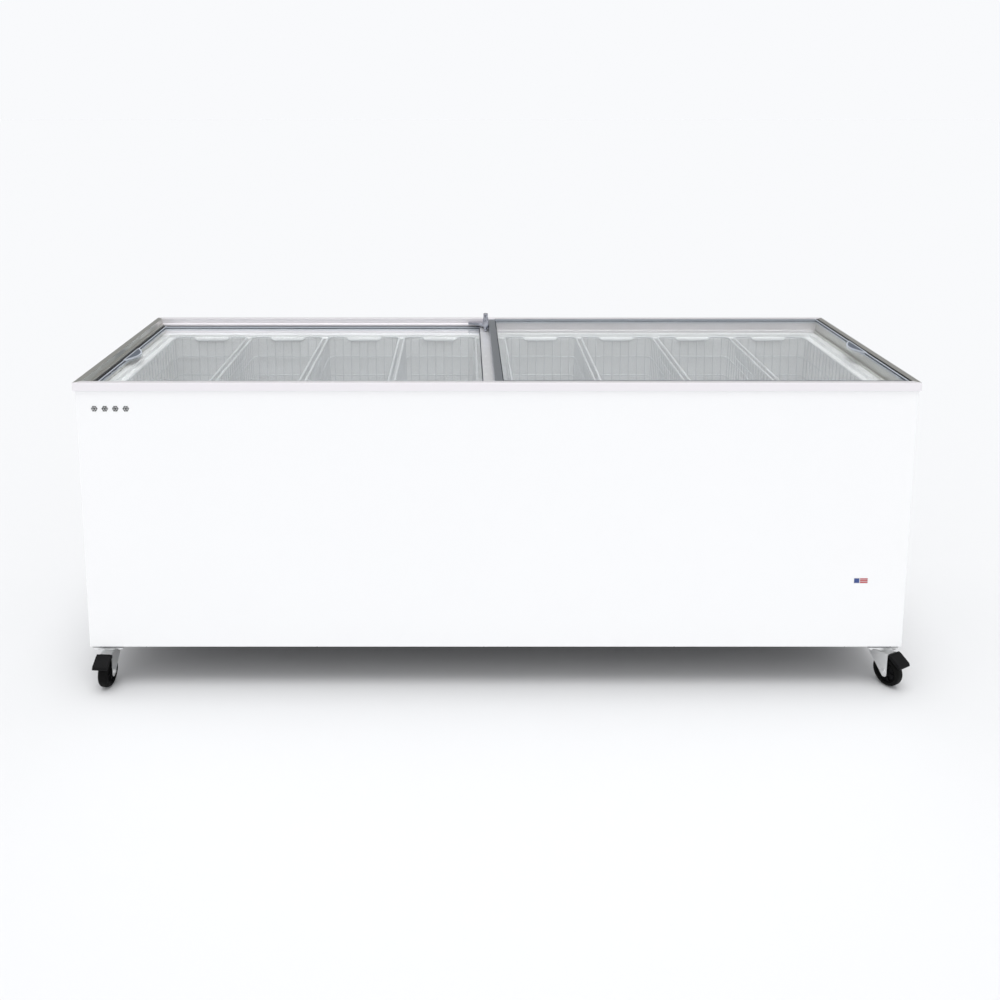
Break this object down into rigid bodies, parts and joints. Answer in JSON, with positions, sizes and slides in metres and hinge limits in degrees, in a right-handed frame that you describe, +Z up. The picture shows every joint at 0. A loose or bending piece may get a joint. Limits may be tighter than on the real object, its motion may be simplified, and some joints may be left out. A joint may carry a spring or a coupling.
{
  "type": "chest freezer",
  "caption": "White shop chest freezer with a flat top of two sliding glass lids, hanging wire baskets, a lock and braked swivel castors.",
  "frame": {"origin": "on the floor under the middle of the cabinet", "axes": "+X along the length towards the machine compartment, -Y to the front, +Z up"},
  "size_m": [2.073, 0.7722, 0.8289],
  "materials": {
    "white_paint": "satin",
    "frame_aluminium": "satin",
    "zinc_steel": "satin",
    "liner_aluminium": "satin",
    "foam": "matte",
    "copper_tube": "satin",
    "black_paint": "satin",
    "grey_plastic": "satin",
    "black_plastic": "satin",
    "wheel_rubber": "matte",
    "lid_glass": "gloss",
    "lid_frame": "satin",
    "stile_aluminium": "satin",
    "lock_chrome": "polished",
    "coated_wire": "satin"
  },
  "bodies": {
    "cabinet": {"front_panel": "white_paint", "rear_panel": "white_paint", "left_panel": "white_paint", "right_panel": "white_paint", "base_pan": "zinc_steel", "base_rail_front": "zinc_steel", "base_rail_rear": "zinc_steel", "top_rail_front": "frame_aluminium", "top_rail_rear": "frame_aluminium", "top_rail_left": "frame_aluminium", "top_rail_right": "frame_aluminium", "liner": "liner_aluminium", "insulation_foam": "foam", "evaporator_coil": "copper_tube", "compressor": "black_paint", "condenser_coil": "copper_tube", "fan_motor": "black_paint", "compartment_grille": "grey_plastic", "thermostat_bezel": "grey_plastic", "cord_gland": "black_plastic", "castor_plate_front_left": "zinc_steel", "castor_plate_front_right": "zinc_steel", "castor_plate_rear_right": "zinc_steel", "castor_plate_rear_left": "zinc_steel"},
    "left_lid": {"left_lid_glass": "lid_glass", "left_lid_handle_end": "lid_frame", "left_lid_front_runner": "lid_frame", "left_lid_rear_runner": "lid_frame", "left_lid_stile": "stile_aluminium"},
    "right_lid": {"right_lid_glass": "lid_glass", "right_lid_handle_end": "lid_frame", "right_lid_front_runner": "lid_frame", "right_lid_rear_runner": "lid_frame", "right_lid_stile": "stile_aluminium", "lock_housing": "lock_chrome"},
    "lock_plunger": {"lock_plunger": "lock_chrome"},
    "lock_core": {"lock_core": "lock_chrome"},
    "fan": {"fan_blade": "grey_plastic"},
    "thermostat_knob": {"thermostat_knob": "grey_plastic"},
    "drain_plug": {"drain_plug": "grey_plastic"},
    "castor_front_left": {"castor_fork_front_left": "zinc_steel"},
    "wheel_front_left": {"castor_wheel_front_left": "wheel_rubber"},
    "pedal_front_left": {"brake_pedal_front_left": "black_plastic"},
    "castor_front_right": {"castor_fork_front_right": "zinc_steel"},
    "wheel_front_right": {"castor_wheel_front_right": "wheel_rubber"},
    "pedal_front_right": {"brake_pedal_front_right": "black_plastic"},
    "castor_rear_right": {"castor_fork_rear_right": "zinc_steel"},
    "wheel_rear_right": {"castor_wheel_rear_right": "wheel_rubber"},
    "pedal_rear_right": {"brake_pedal_rear_right": "black_plastic"},
    "castor_rear_left": {"castor_fork_rear_left": "zinc_steel"},
    "wheel_rear_left": {"castor_wheel_rear_left": "wheel_rubber"},
    "pedal_rear_left": {"brake_pedal_rear_left": "black_plastic"},
    "basket_left_1": {"basket_left_1": "coated_wire"},
    "basket_left_2": {"basket_left_2": "coated_wire"},
    "basket_left_3": {"basket_left_3": "coated_wire"},
    "basket_left_4": {"basket_left_4": "coated_wire"},
    "basket_right_1": {"basket_right_1": "coated_wire"},
    "basket_right_2": {"basket_right_2": "coated_wire"},
    "basket_right_3": {"basket_right_3": "coated_wire"},
    "basket_right_4": {"basket_right_4": "coated_wire"}
  },
  "joints": [
    {"name": "left_lid_slide", "type": "slide", "parent": "cabinet", "child": "left_lid", "axis": [1, 0, 0], "range_m": [0, 0.97]},
    {"name": "right_lid_slide", "type": "slide", "parent": "cabinet", "child": "right_lid", "axis": [-1, 0, 0], "range_m": [0, 0.935]},
    {"name": "lock_press", "type": "slide", "parent": "right_lid", "child": "lock_plunger", "axis": [0, 0, 1], "range_m": [-0.012, 0], "stiffness_N_per_m": 150, "springref_m": 0.004},
    {"name": "lock_key_turn", "type": "hinge", "parent": "lock_plunger", "child": "lock_core", "pos_m": [-0.0145, 0.262, 0.825], "axis": [0, 0, 1], "range_deg": [0, 90]},
    {"name": "fan_spin", "type": "hinge", "parent": "cabinet", "child": "fan", "pos_m": [0.957, -0.015, 0.24], "axis": [1, 0, 0], "continuous": true},
    {"name": "thermostat_turn", "type": "hinge", "parent": "cabinet", "child": "thermostat_knob", "pos_m": [1.024, 0.2, 0.3], "axis": [1, 0, 0], "range_deg": [0, 270]},
    {"name": "drain_plug_lift", "type": "slide", "parent": "cabinet", "child": "drain_plug", "axis": [0, 0, 1], "range_m": [0, 0.12]},
    {"name": "swivel_front_left", "type": "hinge", "parent": "cabinet", "child": "castor_front_left", "pos_m": [-0.98, -0.305, 0.09], "axis": [0, 0, 1], "continuous": true},
    {"name": "roll_front_left", "type": "hinge", "parent": "castor_front_left", "child": "wheel_front_left", "pos_m": [-0.98223, -0.33692, 0.0375], "axis": [0.9976, -0.0698, 0], "continuous": true},
    {"name": "brake_front_left", "type": "hinge", "parent": "castor_front_left", "child": "pedal_front_left", "pos_m": [-0.98112, -0.32096, 0.081], "axis": [0.9976, -0.0698, 0], "range_deg": [0, 8]},
    {"name": "swivel_front_right", "type": "hinge", "parent": "cabinet", "child": "castor_front_right", "pos_m": [0.98, -0.305, 0.09], "axis": [0, 0, 1], "continuous": true},
    {"name": "roll_front_right", "type": "hinge", "parent": "castor_front_right", "child": "wheel_front_right", "pos_m": [0.996, -0.33271, 0.0375], "axis": [0.866, 0.5, 0], "continuous": true},
    {"name": "brake_front_right", "type": "hinge", "parent": "castor_front_right", "child": "pedal_front_right", "pos_m": [0.988, -0.31886, 0.081], "axis": [0.866, 0.5, 0], "range_deg": [0, 8]},
    {"name": "swivel_rear_right", "type": "hinge", "parent": "cabinet", "child": "castor_rear_right", "pos_m": [0.98, 0.305, 0.09], "axis": [0, 0, 1], "continuous": true},
    {"name": "roll_rear_right", "type": "hinge", "parent": "castor_rear_right", "child": "wheel_rear_right", "pos_m": [0.98223, 0.33692, 0.0375], "axis": [-0.9976, 0.0698, 0], "continuous": true},
    {"name": "brake_rear_right", "type": "hinge", "parent": "castor_rear_right", "child": "pedal_rear_right", "pos_m": [0.98112, 0.32096, 0.081], "axis": [-0.9976, 0.0698, 0], "range_deg": [0, 8]},
    {"name": "swivel_rear_left", "type": "hinge", "parent": "cabinet", "child": "castor_rear_left", "pos_m": [-0.98, 0.305, 0.09], "axis": [0, 0, 1], "continuous": true},
    {"name": "roll_rear_left", "type": "hinge", "parent": "castor_rear_left", "child": "wheel_rear_left", "pos_m": [-0.996, 0.33271, 0.0375], "axis": [-0.866, -0.5, 0], "continuous": true},
    {"name": "brake_rear_left", "type": "hinge", "parent": "castor_rear_left", "child": "pedal_rear_left", "pos_m": [-0.988, 0.31886, 0.081], "axis": [-0.866, -0.5, 0], "range_deg": [0, 8]},
    {"name": "basket_left_1_lift", "type": "slide", "parent": "cabinet", "child": "basket_left_1", "axis": [0, 0, 1], "range_m": [0, 0.008]},
    {"name": "basket_left_2_lift", "type": "slide", "parent": "cabinet", "child": "basket_left_2", "axis": [0, 0, 1], "range_m": [0, 0.008]},
    {"name": "basket_left_3_lift", "type": "slide", "parent": "cabinet", "child": "basket_left_3", "axis": [0, 0, 1], "range_m": [0, 0.008]},
    {"name": "basket_left_4_lift", "type": "slide", "parent": "cabinet", "child": "basket_left_4", "axis": [0, 0, 1], "range_m": [0, 0.008]},
    {"name": "basket_right_1_lift", "type": "slide", "parent": "cabinet", "child": "basket_right_1", "axis": [0, 0, 1], "range_m": [0, 0.008]},
    {"name": "basket_right_2_lift", "type": "slide", "parent": "cabinet", "child": "basket_right_2", "axis": [0, 0, 1], "range_m": [0, 0.008]},
    {"name": "basket_right_3_lift", "type": "slide", "parent": "cabinet", "child": "basket_right_3", "axis": [0, 0, 1], "range_m": [0, 0.008]},
    {"name": "basket_right_4_lift", "type": "slide", "parent": "cabinet", "child": "basket_right_4", "axis": [0, 0, 1], "range_m": [0, 0.008]}
  ]
}
